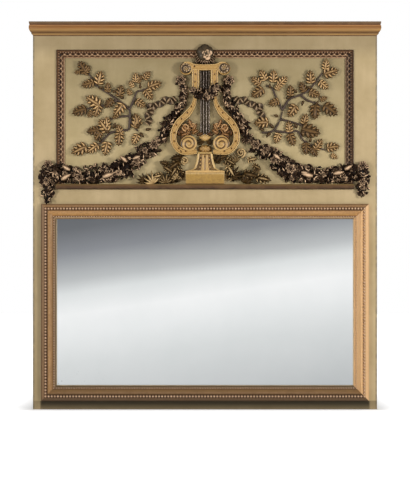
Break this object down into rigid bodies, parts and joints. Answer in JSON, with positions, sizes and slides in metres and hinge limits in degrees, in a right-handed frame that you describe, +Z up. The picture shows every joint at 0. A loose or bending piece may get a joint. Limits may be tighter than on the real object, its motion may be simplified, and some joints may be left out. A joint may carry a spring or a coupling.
{
  "type": "trumeau mirror",
  "caption": "Wide overmantel mirror with a moulded frame, a carved lyre, garlands and leafy branches on a painted upper panel, and a small cornice.",
  "frame": {"origin": "centre of the carcass's bottom face, which stands on the mantel shelf", "axes": "+Z up, +X to the right of someone who looks at the mirror, -Y out of the front"},
  "size_m": [1.5434, 0.0771, 1.7],
  "materials": {
    "painted_wood": "matt oil paint, worn at the arrises",
    "gilt_moulding": "rubbed bronze gilding over bole",
    "leaf_moulding_wood": "dark patinated gilding",
    "gold_wood": "mustard gilding, satin",
    "garland_wood": "dark patinated carving",
    "ribbon_wood": "dark patinated carving",
    "branch_wood": "pink-gold gilding, worn",
    "string_wood": "grey paint",
    "back_wood": "bare pine and oak, aged",
    "nail_steel": "dark wrought iron",
    "screw_steel": "bright",
    "plate_brass": "dull brass",
    "mirror_glass": "silvered glass, slightly foxed"
  },
  "bodies": {
    "root": {"left_stile": "painted_wood", "right_stile": "painted_wood", "top_rail": "painted_wood", "middle_rail": "painted_wood", "bottom_rail": "painted_wood", "upper_panel": "painted_wood", "cornice_front": "gilt_moulding", "cornice_return_left": "gilt_moulding", "cornice_return_right": "gilt_moulding", "ledge": "gilt_moulding", "mirror_frame_top": "gilt_moulding", "mirror_frame_bottom": "gilt_moulding", "mirror_frame_left": "gilt_moulding", "mirror_frame_right": "gilt_moulding", "leaf_moulding_top": "leaf_moulding_wood", "leaf_moulding_left": "leaf_moulding_wood", "leaf_moulding_right": "leaf_moulding_wood", "lyre_plinth": "gold_wood", "lyre_pedestal": "gold_wood", "lyre_band": "gold_wood", "lyre_yoke": "gold_wood", "lyre_left_arm": "gold_wood", "lyre_right_arm": "gold_wood", "lyre_tailpiece": "gold_wood", "swag_left": "garland_wood", "swag_right": "garland_wood", "scroll_drop_left": "garland_wood", "scroll_drop_right": "garland_wood", "corner_drop_left": "garland_wood", "corner_drop_right": "garland_wood", "string_garland": "garland_wood", "scroll_rosette_left": "garland_wood", "scroll_rosette_right": "garland_wood", "crest_rose": "garland_wood", "crest_collar": "garland_wood", "inner_sprig_left": "garland_wood", "inner_sprig_right": "garland_wood", "foot_spray_left": "garland_wood", "foot_spray_right": "garland_wood", "ribbon_left": "ribbon_wood", "ribbon_right": "ribbon_wood", "branch_left": "branch_wood", "branch_right": "branch_wood", "lyre_strings": "string_wood", "backboard_1": "back_wood", "backboard_2": "back_wood", "backboard_3": "back_wood", "glazing_blocks": "back_wood", "joint_pegs": "back_wood", "backboard_nails": "nail_steel", "hanger_screws": "screw_steel", "hanging_plate_left": "plate_brass", "hanging_plate_right": "plate_brass", "mirror_glass": "mirror_glass"}
  },
  "joints": []
}
